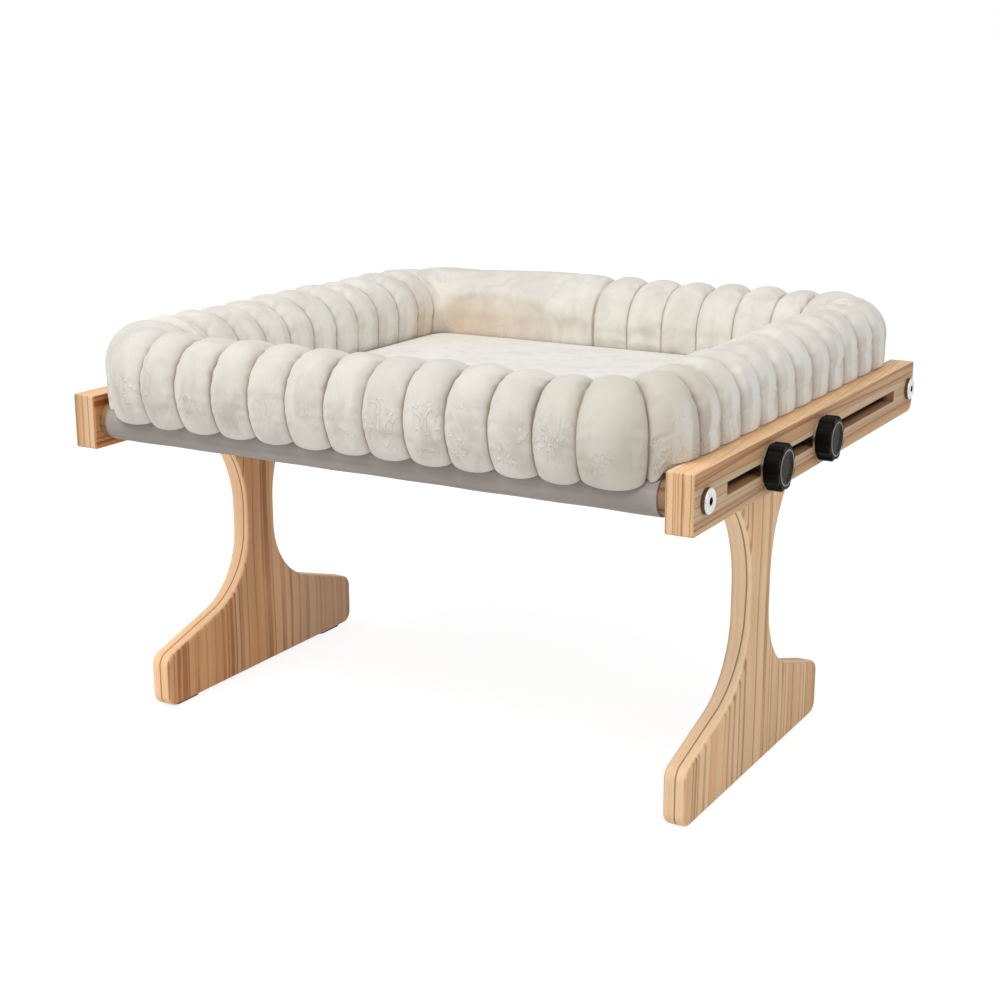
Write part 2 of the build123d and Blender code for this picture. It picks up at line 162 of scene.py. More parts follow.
class Material(Graph):
    """The node tree of a new material."""

    def __init__(self, name):
        super().__init__(bpy.data.materials.new(name), "ShaderNodeOutputMaterial")
        coordinates = self.node("ShaderNodeTexCoord").outputs
        self.place = coordinates["Object"]
        self.normal = coordinates["Normal"]

    def attribute(self, name, output):
        return self.node("ShaderNodeAttribute", {"attribute_name": name}).outputs[output]

    def bump(self, height, strength, distance):
        return self.node("ShaderNodeBump", None, Height=height, Strength=strength, Distance=distance).outputs[0]

    def surface(self, colour, roughness, normal, **sockets):
        sockets.update(Base_Color=colour, Roughness=roughness, Normal=normal)
        made = self.node("ShaderNodeBsdfPrincipled", None, **sockets)
        self.tree.links.new(made.outputs[0], self.out.inputs[0])
        return self.owner


# Studio: the camera as worked out from the photograph, in metres and degrees, and the light

LENS, SENSOR = 62.2, 36.0
CAMERA_PLACE = (0.6470, -1.1422, 0.5078)
CAMERA_TURN = (90 - 14.86, 0.07, 29.965)
LIT_POINT = (0.0, 0.0, 0.2)
# Name, place, diameter, power and colour
LIGHTS = (
    ("key", (-0.4, -1.2, 1.95), 1.4, 25.5, (1.0, 0.99, 0.972)),
    ("side", (1.7, -0.3, 1.1), 1.5, 4.0, (1.0, 0.985, 0.96)),
)
SKY_STRENGTH = 0.60
FLOOR_GLOW = 0.86
FLOOR_REACH = 30


def add_camera():
    data = bpy.data.cameras.new("camera")
    data.lens = LENS
    data.sensor_width = SENSOR
    camera = bpy.data.objects.new("camera", data)
    camera.location = CAMERA_PLACE
    camera.rotation_euler = [math.radians(angle) for angle in CAMERA_TURN]
    bpy.context.scene.collection.objects.link(camera)
    bpy.context.scene.camera = camera


def add_area_light(name, place, size, energy, colour):
    data = bpy.data.lights.new(name, "AREA")
    data.shape = "DISK"
    data.size = size
    data.energy = energy
    data.color = colour
    light = bpy.data.objects.new(name, data)
    light.location = place
    direction = np.array(LIT_POINT) - np.array(place)
    light.rotation_euler = Vector(direction).to_track_quat("-Z", "Y").to_euler()
    bpy.context.scene.collection.objects.link(light)


def add_world():
    """A sky that is seen white, and lights the part a little cooler and weaker."""
    world = bpy.data.worlds.new("studio")
    bpy.context.scene.world = world
    g = Graph(world, "ShaderNodeOutputWorld")
    fill = g.node("ShaderNodeBackground", None, Color=SKY, Strength=SKY_STRENGTH)
    white = g.node("ShaderNodeBackground", None, Color=WHITE, Strength=1.0)
    g.show(lit=fill, seen=white)


def add_floor():
    mesh = bpy.data.meshes.new("studio_floor")
    corners = [(x * FLOOR_REACH, y * FLOOR_REACH, 0) for x, y in ((-1, -1), (1, -1), (1, 1), (-1, 1))]
    mesh.from_pydata(corners, [], [(0, 1, 2, 3)])
    mesh.materials.append(paper_floor("studio_floor"))
    studio_floor = bpy.data.objects.new("studio_floor", mesh)
    bpy.context.scene.collection.objects.link(studio_floor)


# Materials. Lengths in them are metres

EDGE_SPACING, EDGE_WANDER, FACE_WANDER_SHARE = 0.0052, 0.010, 2.2
DUSK = 12
SLOT_HALF_HEIGHT, SLOT_HALF_LENGTH = 0.0044, 0.1692
SOCKET_RADIUS = 0.0027
RIM_GAP, RIM_WIDTH = 0.0001, 0.0011
# How far a leg's seam lies behind its outer face at the top, and at the foot of either leg
SEAM_TOP, RIGHT_SEAM_FOOT, LEFT_SEAM_FOOT = 0.0046, 0.0076, 0.0080


class Pine(Material):
    """Sanded pine. The grain runs along one axis, and the X faces are the broad ones."""

    def __init__(self, name, along):
        super().__init__(name)
        self.axes = self.split(self.place)
        self.length = self.axes[along]
        self.heading = self.split(self.normal)
        self.heading_x = self.math("ABSOLUTE", self.heading[X])
        self.on_broad = self.spread(self.heading_x, 0.45, 0.85)
        self.off_broad = self.math("SUBTRACT", 1.0, self.on_broad)

    def grain(self, across, spacing, wander, start):
        """Thin year lines, the soft shade beside each, fine lines between them, bands, patches and the drift."""
        length = self.length
        drift = self.noise(self.join(self.times(across, 7.0), self.times(length, 3.4), start), roughness=0.4)
        shake = self.noise(self.join(self.times(across, 70.0), self.times(length, 16.0), start))
        bent = self.stray(self.stray(across, drift, wander), shake, 0.0013)
        years = self.noise(self.join(self.math("DIVIDE", bent, spacing), start + 2.1, 0.0), detail=1.0)
        fine = self.noise(self.join(self.math("DIVIDE", bent, 0.36 * spacing), start + 7.7, 0.0), detail=1.0)
        bands = self.join(self.math("DIVIDE", bent, 2.6 * spacing), start + 13.3, self.times(length, 1.6))
        patches = self.join(self.times(across, 30.0), self.times(length, 5.0), start + 21.0)
        bands, patches = self.noise(bands), self.noise(patches, detail=3.0, roughness=0.55)
        line = self.within(self.apart(years, 0.5), 0.004, 0.042)
        line = self.times(line, self.spread(patches, 0.34, 0.56, 0.30, 1.0))
        shade = self.times(self.within(years, 0.5, 0.64), self.math("GREATER_THAN", years, 0.5))
        thin = self.within(self.apart(fine, 0.5), 0.0, 0.05)
        thin = self.times(thin, self.spread(patches, 0.4, 0.62, 0.15, 0.8))
        return line, shade, thin, bands, patches, drift

    def streak(self, across, drift, level, wave, reach, phase, strength):
        """A single dark line that wanders along the board."""
        path = self.math("SINE", self.math("MULTIPLY_ADD", self.length, reach, phase))
        path = self.stray(self.math("MULTIPLY_ADD", path, wave, level), drift, 0.007)
        return self.times(self.within(self.apart(across, path), 0.0002, 0.0013, strength), self.on_broad)

    def seam(self, low, high):
        """The fine dark line on a leg's edges where its two layers meet, from its foot to its top."""
        offset = self.spread(self.axes[Z], 0.05, 0.15, low, high)
        groove = self.within(self.apart(self.axes[X], offset), 0.0003, 0.0009)
        return self.times(groove, self.within(self.heading_x, 0.25, 0.6))

    def end_rings(self, seed):
        """Year lines that stand upright on the end grain."""
        bow = self.noise(self.join(0.0, 0.0, self.times(self.axes[Z], 26.0)))
        uneven = self.noise(self.join(self.times(self.axes[X], 240.0), seed, 0.0), detail=1.0)
        rings = self.math("MULTIPLY_ADD", uneven, 0.008, self.math("MULTIPLY_ADD", bow, 0.0024, self.axes[X]))
        rings = self.apart(self.math("FRACT", self.times(rings, 1 / 0.0054)), 0.5)
        on_end = self.spread(self.math("ABSOLUTE", self.heading[Y]), 0.6, 0.9)
        return self.times(self.within(rings, 0.02, 0.15, 0.6), on_end)

    def in_slot(self, level, half_height, half_length, face):
        """A mask of the slot's walls, where shade is painted, and the depth below the rail's face."""
        inside = self.within(self.apart(self.axes[Z], level), half_height + 0.0001, half_height + 0.0003)
        ends = self.within(self.math("ABSOLUTE", self.length), half_length, half_length + 0.0002)
        depth = self.math("SUBTRACT", face, self.math("ABSOLUTE", self.axes[X]))
        inside = self.times(self.times(inside, ends), self.spread(depth, 0.0003, 0.0008))
        return self.times(inside, self.off_broad), depth


def wood(
    name, seed, along, broad, edge, tint, spacing=0.0074, edge_grain=1.0, edge_pale=0.3, lean=0.0,
    broad_face_shade=None, seam=None, streaks=(), pale_band=None, slot=None, top_light=0.0, grey_heel=0.0,
):
    """Pine with its lines a spacing apart across the broad faces, and closer and paler on the edges."""
    g = Pine(name, along)
    face = g.grain(g.axes[broad], spacing, FACE_WANDER_SHARE * spacing, seed)
    rim = g.grain(g.math("MULTIPLY_ADD", g.length, lean, g.axes[edge]), EDGE_SPACING, EDGE_WANDER, seed + 31.0)
    line, shade, thin = (g.between(g.on_broad, g.times(b, edge_grain), a) for a, b in zip(face[:3], rim[:3]))
    bands, patches = (g.between(g.on_broad, b, a) for a, b in zip(face[3:5], rim[3:5]))
    for streak in streaks:
        line = g.math("MAXIMUM", line, g.streak(g.axes[broad], face[5], *streak))
    fibre = g.join(*(g.times(g.axes[k], 30.0 if k == along else 1400.0) for k in (X, Y, Z)))
    fibre = g.noise(fibre, roughness=0.6)

    base = g.mix(g.spread(bands, 0.36, 0.64), PINE, PINE_BAND)
    base = g.mix(g.spread(patches, 0.42, 0.72, 0.0, 0.65), base, PINE_PATCH)
    # The edges are paler, as their grain is, but less so towards the foot: painted shade on the toe fronts that face
    # the lamp.
    pale_edge = g.times(g.off_broad, g.spread(g.axes[Z], 0.040, 0.070, 0.45 * edge_pale, edge_pale))
    base = g.mix(pale_edge, base, PINE_EDGE)
    if pale_band is not None:
        pale = g.times(g.within(g.apart(g.axes[broad], pale_band), 0.006, 0.013, 0.7), g.on_broad)
        base = g.mix(pale, base, PINE_STRIPE)
        line = g.times(line, g.math("SUBTRACT", 1.0, g.times(pale, 0.8)))
    base = g.mix(g.times(shade, 0.45), base, PINE_SHADE)
    base = g.mix(g.times(thin, 0.20), base, PINE_FINE_LINE)
    base = g.mix(g.math("MULTIPLY", line, 0.78, clamp=True), base, PINE_LINE)
    # Painted light: faces that look up are made paler, for the light that falls on them from above.
    base = g.mix(g.spread(g.heading[Z], 0.6, 0.9, 0.0, top_light), base, PINE_TOP_LIGHT)
    heel = g.times(g.spread(g.axes[Y], -0.035, 0.02, 0.0, grey_heel), g.on_broad)
    base = g.mix(heel, base, PINE_HEEL)
    base = g.mix(g.spread(fibre, 0.45, 0.8, 0.0, 0.28), base, PINE_FIBRE)
    height = g.math("MULTIPLY_ADD", line, -0.6, g.times(fibre, 0.6))
    if seam is not None:
        groove = g.seam(*seam)
        base = g.mix(g.times(groove, 0.75), base, PINE_SEAM)
        height = g.math("MULTIPLY_ADD", groove, -4.0, height)
    if slot is not None:
        base = g.mix(g.end_rings(seed), base, PINE_RING)
        # Painted shade in the slot: its walls darker brown, and near black further in, where the shadow is deep.
        inside, depth = g.in_slot(*slot)
        base = g.mix(inside, base, g.mix(0.55, base, SLOT_WALL_SHADE))
        base = g.mix(g.times(inside, g.spread(depth, 0.005, 0.0115, 0.0, 0.94)), base, SLOT_DEEP_SHADOW)
    # Painted light and shade: the broad faces are darkened, and each copy of the pine is tinted for the light that
    # falls on it.
    if broad_face_shade is not None:
        base = g.mix(g.on_broad, base, g.mix(1.0, base, broad_face_shade, "MULTIPLY"))
    base = g.mix(1.0, base, tint, "MULTIPLY")
    rough = g.spread(g.math("ADD", line, fibre), 0.3, 1.3, 0.60, 0.46)
    return g.surface(base, rough, g.bump(height, 0.35, 0.0002), Specular_IOR_Level=0.18)


class Velvet(Material):
    """Short cream pile: brushed in patches, with painted shade in the creases and in a few places, a painted highlight
    on the side crests, and crushed low on the front.
    """

    def __init__(self, name):
        super().__init__(name)
        self.x, self.y, self.z = self.split(self.place)
        self.level = self.split(self.normal)[Z]
        self.crease = self.attribute("crease", "Fac")
        self.crushed = self.attribute("crushed", "Fac")

    def brushing(self):
        """Large and small clouds of the pile and the thin marks in it, all longer in height, as it is brushed."""
        upright = self.join(self.x, self.y, self.times(self.z, 0.45))
        brushed = self.noise(upright, 34.0, 4.0, 0.6, 0.4)
        cloudy = self.noise(upright, 75.0, 3.0, 0.55, 0.5)
        crumple = self.noise(upright, 215.0, 1.5, 0.5, 0.6)
        marks = self.within(self.apart(crumple, 0.5), 0.0, 0.075)
        cluster = self.spread(self.noise(self.place, 42.0), 0.47, 0.56)
        return brushed, cloudy, self.times(marks, cluster, self.spread(self.crushed, 0.08, 0.5))

    def painted_shade_places(self, base, corner_shade_share):
        """Painted shade: warm and low in the back left corner, darker on the front crown that faces up, and warmer and
        darker beside the rail at the front right.
        """
        low_corner_shade = self.times(self.spread(self.x, -0.02, -0.16), self.spread(self.y, 0.10, 0.15))
        low_corner_shade = self.times(low_corner_shade, self.spread(self.z, 0.304, 0.264))
        inside = self.times(self.spread(self.y, 0.212, 0.190), self.spread(self.x, -0.205, -0.185))
        base = self.mix(self.times(self.times(low_corner_shade, inside), corner_shade_share), base, WARM_CORNER_SHADE)
        crown_shade = self.times(self.spread(self.level, 0.05, 0.55), self.spread(self.y, -0.17, -0.19))
        base = self.mix(self.times(crown_shade, 0.32), base, FRONT_CROWN_SHADE)
        by_rail_shade = self.times(self.spread(self.x, 0.125, 0.180), self.spread(self.y, -0.12, -0.165))
        by_rail_shade = self.times(by_rail_shade, self.spread(self.x, 0.19, 0.225, 0.32, 0.60))
        return self.mix(by_rail_shade, base, RAIL_SIDE_SHADE)

    def folds(self, base):
        """Painted shade towards the seams, fainter on the crown; at the sides deeper painted shade in the folds, and a
        painted highlight on the crests.
        """
        side = self.spread(self.math("ABSOLUTE", self.x), 0.150, 0.185)
        side = self.times(side, self.spread(self.math("ABSOLUTE", self.y), 0.215, 0.185))
        crest_light = self.times(self.within(self.crease, 0.0, 0.03), self.within(self.level, 0.1, 0.75, 0.80))
        base = self.mix(self.times(side, crest_light), base, RIB_CREST_HIGHLIGHT)
        deep_shade = self.times(side, self.spread(self.x, -0.1, 0.1, 0.12, 0.30))
        base = self.mix(self.times(deep_shade, self.spread(self.crease, 0.015, 0.42)), base, DEEP_FOLD_SHADE)
        off_crown = self.spread(self.level, 0.45, 0.95, 1.0, 0.25)
        shallow_shade = self.times(self.spread(self.crease, 0.10, 0.8, 0.0, 0.34), off_crown)
        base = self.mix(shallow_shade, base, SHALLOW_FOLD_SHADE)
        sewn = self.times(self.spread(self.crease, 0.46, 0.92, 0.0, 0.58), off_crown)
        return self.mix(sewn, base, SEAM_CORE_SHADE)


def velvet(name, bright, shaded, corner_shade_share):
    g = Velvet(name)
    brushed, cloudy, marks = g.brushing()
    pile = g.noise(g.place, 2600.0, roughness=0.7)
    base = g.mix(g.spread(brushed, 0.35, 0.68), srgb(*bright), srgb(*shaded))
    base = g.mix(g.spread(cloudy, 0.45, 0.75, 0.0, 0.5), base, srgb(*(value - DUSK for value in shaded)))
    # Greyer where the pile is crushed low on the front, which also paints the shade that falls low there.
    base = g.mix(g.times(g.spread(cloudy, 0.36, 0.62), g.times(g.crushed, 0.50)), base, CRUSHED_PILE_AND_SHADE)
    base = g.mix(g.times(marks, 0.45), base, PILE_MARK)
    base = g.folds(g.painted_shade_places(base, corner_shade_share))
    height = g.math("MULTIPLY_ADD", cloudy, 0.5, g.math("ADD", g.times(pile, 0.12), g.times(marks, 1.2)))
    rough = g.spread(pile, 0.3, 0.7, 0.78, 0.95)
    return g.surface(
        base, rough, g.bump(height, 0.5, 0.0012), Sheen_Weight=0.40, Sheen_Roughness=0.36,
        Sheen_Tint=(1, 0.99, 0.97, 1), Specular_IOR_Level=0.12,
    )


def sling_cloth(name, hem_line, thread=0.0011, stitch=0.0036):
    """Warm grey plain weave with stitched hems; it follows the cloth's own lengths, kept as an attribute."""
    g = Material(name)
    across, along, _ = g.split(g.attribute("cloth", "Vector"))
    weave = g.times(*(g.math("SINE", g.times(way, 2 * math.pi / thread)) for way in (across, along)))
    streak = g.noise(g.join(g.times(across, 6.0), g.times(along, 160.0), 0.0), detail=3.0, roughness=0.6)
    cloud = g.noise(g.place, 22.0, 3.0, 0.6)
    base = g.mix(g.spread(streak, 0.3, 0.7), CLOTH, CLOTH_STREAK)
    base = g.mix(g.spread(cloud, 0.4, 0.75, 0.0, 0.6), base, CLOTH_CLOUD)
    base = g.mix(g.within(weave, -0.6, 0.8, 0.18), base, CLOTH_GAP)
    dash = g.spread(g.math("FRACT", g.times(along, 1 / stitch)), 0.25, 0.3)
    stitches = g.times(g.within(g.apart(g.math("ABSOLUTE", across), hem_line), 0.0003, 0.0007), dash)
    base = g.mix(g.times(stitches, 0.5), base, CLOTH_STITCH)
    height = g.math("ADD", g.times(weave, 0.3), g.times(stitches, 2.0))
    normal = g.bump(height, 0.45, 0.0003)
    return g.surface(base, 0.86, normal, Sheen_Weight=0.12, Sheen_Roughness=0.5, Specular_IOR_Level=0.2)


def reach_from(g, centres):
    """Distance outward along X, and in the YZ plane from the nearer of two axes that run along X."""
    x, y, z = g.split(g.place)
    reaches = []
    for centre in centres:
        apart = g.node("ShaderNodeVectorMath", {"operation": "DISTANCE"}, i0=g.join(0.0, y, z), i1=(0, *centre))
        reaches.append(apart.outputs["Value"])
    return g.math("ABSOLUTE", x), g.math("MINIMUM", *reaches)


def steel(name, centres, head=None):
    """Zinc plated steel with lathe rings; head gives the face, socket and rim of a bolt head, with a painted shadow in
    the socket and a painted dark reflection of the wood on the head's side wall.
    """
    g = Material(name)
    out, far = reach_from(g, centres)
    rings = g.noise(g.join(g.times(far, 2600.0), 0.0, 0.0), roughness=0.6)
    stain = g.noise(g.place, 240.0, 3.0, 0.6)
    base = g.mix(g.spread(stain, 0.4, 0.7), ZINC, ZINC_STAIN)
    rough = g.spread(rings, 0.3, 0.7, 0.26, 0.4)
    if head:
        face, socket, rim = head
        # Painted shadow in the hex socket.
        socket_shadow_mask = g.times(g.within(far, socket * 0.97, socket * 1.03), g.within(out, face - 0.0004, face - 0.00015))
        base = g.mix(socket_shadow_mask, base, SOCKET_SHADOW)
        # A painted dark reflection of the wood on the side wall of the head.
        wall = g.times(g.spread(far, rim - 0.0004, rim - 0.0001), g.within(out, face - 0.0009, face - 0.0006))
        base = g.mix(g.times(wall, 0.9), base, HEAD_WALL_REFLECTION)
    return g.surface(base, rough, g.bump(rings, 0.12, 0.00005), Metallic=1.0)


def plastic(name, colour, paler, shine, centres=None, ring=None):
    """Moulded plastic with a fine spark-eroded grain; a knob's rim, given as a ring, gets a painted highlight."""
    g = Material(name)
    grain = g.noise(g.place, 1500.0, roughness=0.6)
    cloud = g.noise(g.place, 150.0, 3.0, 0.6)
    base = g.mix(g.spread(cloud, 0.35, 0.75), colour, paler)
    rough = g.spread(grain, 0.3, 0.7, 0.34, 0.5)
    if ring:
        out, far = reach_from(g, centres)
        inner, outer, face = ring
        # A painted highlight round the knob's rim, broken a little by a noise.
        rim_light_band = g.times(g.spread(far, inner - 0.0003, inner), g.within(far, outer, outer + 0.0002))
        rim_light_band = g.times(rim_light_band, g.spread(out, face - 0.0004, face - 0.0001))
        rim_light_break = g.noise(g.place, 420.0, 3.0, 0.6)
        base = g.mix(g.times(rim_light_band, g.spread(rim_light_break, 0.3, 0.6, 0.75, 1.0)), base, KNOB_RIM_HIGHLIGHT)
    return g.surface(base, rough, g.bump(grain, 0.18, 0.00008), Specular_IOR_Level=shine)


def rubber(name):
    g = Material(name)
    grain = g.noise(g.place, 900.0, 3.0, 0.65)
    base = g.mix(g.spread(grain, 0.35, 0.7), RUBBER, RUBBER_GRAIN)
    return g.surface(base, g.spread(grain, 0.3, 0.7, 0.7, 0.9), g.bump(grain, 0.3, 0.0002))


def brass(name):
    g = Material(name)
    grain = g.noise(g.join(g.times(g.split(g.place)[X], 3000.0), 0.0, 0.0))
    base = g.mix(grain, BRASS, BRASS_LINE)
    return g.surface(base, g.spread(grain, 0.3, 0.7, 0.25, 0.4), g.bump(grain, 0.2, 0.0001), Metallic=1.0)


def paper_floor(name):
    """A floor that is seen white with a faint shadow, and throws back a little light."""
    g = Material(name)
    speck = g.noise(g.place, 40.0, 3.0, 0.6)
    bounce = g.node("ShaderNodeBsdfDiffuse", None, Color=g.mix(speck, *FLOOR_LIT))
    shadow = g.node("ShaderNodeBsdfDiffuse", None, Color=g.mix(speck, *FLOOR_SEEN))
    glow = g.node("ShaderNodeEmission", None, Color=WHITE, Strength=FLOOR_GLOW)
    white = g.node("ShaderNodeAddShader", None, i0=shadow.outputs[0], i1=glow.outputs[0])
    g.show(lit=bounce, seen=white)
    return g.owner


# Sizes in mm. What the frame gives is read from it, and the rest follows the sizes that the CAD solids have

def middle(node):
    """Middle of a node's box in Y and Z, in metres."""
    low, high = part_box(node)
    return (low.y + high.y) / 2, (low.z + high.z) / 2


def in_mm(length):
    """A length of the frame in mm, to a hundredth."""
    return round(length / MM, 2)


rail_low, rail_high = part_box("right_rail")
sleeve_low, sleeve_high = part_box("front_sleeve")
panel_low, panel_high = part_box("sling_panel")
HALF_WIDTH, HALF_LENGTH = in_mm(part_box("bolster")[1].x), in_mm(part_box("bolster")[1].y)
RAIL_INNER, RAIL_TOP = in_mm(rail_low.x), in_mm(rail_high.z)
FRONT_DOWEL, DOWEL_Z = (in_mm(value) for value in middle("front_dowel"))
REAR_DOWEL = in_mm(middle("rear_dowel")[0])
SLEEVE_OUTER = in_mm((sleeve_high.y - sleeve_low.y) / 2)
SLING_TOP, PANEL_Z = in_mm(panel_high.z), in_mm((panel_low.z + panel_high.z) / 2)

# The bolster's plan
CORNER, INNER_CORNER = 61.0, 6.0
SIDE_ROLL, END_ROLL = 68.0, 72.0
SOFT_GAP = 0.3
BOTTOM = SLING_TOP + SOFT_GAP
CORNER_X, CORNER_Y = HALF_WIDTH - CORNER, HALF_LENGTH - CORNER
CORNER_RUN = CORNER * math.pi / 2
SIDE_START = CORNER_X + CORNER_RUN
SIDE_END = SIDE_START + 2 * CORNER_Y
HALF_RUN = SIDE_END + CORNER_RUN + CORNER_X
PIVOT_X = HALF_WIDTH - SIDE_ROLL - INNER_CORNER
PIVOT_Y = HALF_LENGTH - END_ROLL - INNER_CORNER

# The bolster's channels: as many across the front as along a side; the cover's seams are deeper than the solid's
CHANNELS = 11
END_INSET = 2.0
PITCH = 2 * (CORNER_X - END_INSET) / CHANNELS
CORNER_SEAM_FRONT, CORNER_SEAM_REAR, PLAIN_SEAM_INSET = 2.0, 16.2, 9.0
SEAM_DEPTH, SEAM_CROWN_DEPTH, SEAM_INNER_DEPTH = 6.0, 6.5, 4.0
COVER_DEPTH_SHARE = 1.25
RIB_STEPS, RIB_POWER = 12, 2.15
PLAIN_STEP, PLAIN_FADE = 4.0, 16.0
CREASE_POWER = 1.6

# Ranges in which ribs differ: how deep their seams are, how far they swell in mm, and how worn their fronts are
PUFF, SWELL, WEAR = (0.92, 1.08), (-0.6, 0.6), (0.3, 1.0)
# Waves round a rib's section, as their number and height in mm: gathers by the seams, lumps on the rib
GATHERS, LUMPS = ((19, 0.6), (27, 0.4)), ((3, 0.35), (5, 0.22))
GATHER_FADE, GATHER_START, GATHER_SHARE = 3.2, 14, 0.8
# The pile is crushed between two heights, each with the length of its fade, and less behind the front; its greyer tone
# there also paints shade
CRUSH_TOP, CRUSH_FOOT = (296, 26), (246, 10)
FRONT_PART, CRUSH_BEHIND = -120, 0.25

# The bolster's cross-section
CROWN, CROWN_RISE, SHOULDER = 57.0, 3.0, 30.0
INNER_WALL, FOOT_INSET = 34.0, 5.0
LIP_INSET, LIP_DROP, LIP_SEAM_RISE, CORNER_SEAM_RISE = 9.0, 10.0, 5.0, 4.0
CORNER_LIP_REACH = 7.0
NOSE_SHARE, CORNER_NOSE_SHARE, NOSE_DROP = 0.33, 0.2, 1.0
TOE_INSET, TOE_DRAW, TOE_BEND, TOE_MARGIN = 1.8, 3.5, 1.0, 9.0
LOW_TOE = ((4.0, 0.0), (2.0, 0.9), (0.0, 2.2))
FOOT_POINTS, LIP_POINTS, NOSE_POINTS, SIDE_POINTS, CROWN_POINTS, WALL_POINTS = 12, 5, 4, 15, 17, 9

# The bolster's filling as cloth under pressure: points are free from FREE_RISE above the foot on, and held below
# SEWN_FREEDOM; none moves further than MOST_MOVE
SLACK, MOST_MOVE, FREE_RISE, SEWN_FREEDOM = 1.2, 3.5, 16.0, 0.02
FILL_FRAMES = 20
PRESSURE, EXTRA_CLOTH, CLOTH_MASS = 4.0, 0.014, 0.3
STRETCH_STIFFNESS, SHEAR_STIFFNESS, BEND_STIFFNESS = 15.0, 5.0, 1.0

# The floor pad: its rise from the edge inwards as shares that each take a reach
PAD_CELLS, PAD_SQUARENESS = 120, 26
PAD_RISE = ((0.52, 1.6), (0.48, 24))
PAD_SWELL, PAD_CREASE, PAD_CRUSHED = 0.6, 0.6, 0.05

# The sling: its cloth's middle line round a dowel, its seam and the tongue beyond it
CLOTH_RADIUS, CLOTH_THICKNESS = 13.4, 1.1
SEAM_REACH, TONGUE_LENGTH, TONGUE_DROP = 16.0, 8, 1.25
HEM = 218.5
SLEEVE_WAVES = ((9, 11, 0.14), (23, -17, 0.10))
RING_POINTS, PANEL_POINTS, SLING_ROWS = 56, 64, 110


# Meshes

def make_piece(name, points, faces, material, attributes):
    mesh = bpy.data.meshes.new(name)
    places = [tuple(point) for point in np.asarray(points) * MM]
    mesh.from_pydata(places, [], [tuple(int(index) for index in face) for face in faces])
    mesh.validate()
    mesh.shade_smooth()
    for key, (kind, values) in attributes.items():
        layer = mesh.attributes.new(key, kind, "POINT")
        field = "vector" if kind == "FLOAT_VECTOR" else "value"
        layer.data.foreach_set(field, np.asarray(values, np.float32).ravel())
    mesh.materials.append(material)
    piece = bpy.data.objects.new(name, mesh)
    bpy.context.scene.collection.objects.link(piece)
    return piece


def coordinates_of(mesh):
    values = np.empty(len(mesh.vertices) * 3)
    mesh.vertices.foreach_get("co", values)
    return values


def fill_cover(piece, sewn, most):
    """Fills a cover as cloth under pressure, held where it is sewn; no point moves further than its most, in mm."""
    scene = bpy.context.scene
    rest = coordinates_of(piece.data)
    group = piece.vertex_groups.new(name="sewn")
    group.add([int(index) for index in np.flatnonzero(sewn)], 1.0, "REPLACE")
    modifier = piece.modifiers.new("filling", "CLOTH")
    cloth = modifier.settings
    cloth.quality = 5
    cloth.mass = CLOTH_MASS
    cloth.tension_stiffness = cloth.compression_stiffness = STRETCH_STIFFNESS
    cloth.shear_stiffness = SHEAR_STIFFNESS
    cloth.bending_stiffness = BEND_STIFFNESS
    cloth.air_damping = 1.0
    cloth.use_pressure = True
    cloth.uniform_pressure_force = PRESSURE
    cloth.shrink_min = -EXTRA_CLOTH
    cloth.vertex_group_mass = group.name
    cloth.effector_weights.gravity = 0
    modifier.collision_settings.use_collision = False
    for frame_number in range(1, FILL_FRAMES + 1):
        scene.frame_set(frame_number)
    moved = coordinates_of(piece.evaluated_get(bpy.context.evaluated_depsgraph_get()).data)
    shift = (moved - rest).reshape(-1, 3)
    far = np.maximum(np.linalg.norm(shift, axis=1), TINY)
    most = most * MM
    shift *= (most * np.tanh(far / np.maximum(most, TINY)) / far)[:, None]
    piece.modifiers.remove(modifier)
    piece.vertex_groups.remove(group)
    piece.data.vertices.foreach_set("co", rest + shift.ravel())
    piece.data.update()
    scene.frame_set(1)


def subdivide(piece):
    modifier = piece.modifiers.new("finer", "SUBSURF")
    modifier.levels = modifier.render_levels = 1
    ready = piece.evaluated_get(bpy.context.evaluated_depsgraph_get())
    finer = bpy.data.meshes.new_from_object(ready)
    piece.modifiers.remove(modifier)
    piece.data = finer


def tangent_arc(start, end, heading, count):
    """Points of the arc that leaves start along heading and ends at end, start not included."""
    start, end, heading = (np.asarray(v, float) for v in (start, end, heading))
    heading = heading / np.linalg.norm(heading)
    chord = end - start
    side = np.array([-heading[1], heading[0]])
    across = chord @ side
    if abs(across) < 1e-6:
        return start + np.linspace(0, 1, count + 1)[1:, None] * chord
    radius = (chord @ chord) / (2 * across)
    centre = start + side * radius
    first = start - centre
    last = end - centre
    sweep = math.atan2(first[0] * last[1] - first[1] * last[0], first @ last)
    if sweep * radius < 0:
        sweep += math.copysign(2 * math.pi, radius)
    turns = np.linspace(0, sweep, count + 1)[1:]
    sine, cosine = np.sin(turns), np.cos(turns)
    return centre + np.stack([first[0] * cosine - first[1] * sine, first[0] * sine + first[1] * cosine], 1)


def smooth_closed(values):
    return 0.25 * np.roll(values, 1, 0) + 0.5 * values + 0.25 * np.roll(values, -1, 0)


def outline_point(run):
    """The point of the bolster's outer line at a run from the middle of the front round to that of the back."""
    if run <= CORNER_X:
        return run, -HALF_LENGTH
    if run < SIDE_START:
        turn = (run - CORNER_X) / CORNER
        return CORNER_X + CORNER * math.sin(turn), -CORNER_Y - CORNER * math.cos(turn)
    if run <= SIDE_END:
        return HALF_WIDTH, run - SIDE_START - CORNER_Y
    if run < HALF_RUN - CORNER_X:
        turn = (run - SIDE_END) / CORNER
        return CORNER_X + CORNER * math.cos(turn), CORNER_Y + CORNER * math.sin(turn)
    return HALF_RUN - run, HALF_LENGTH


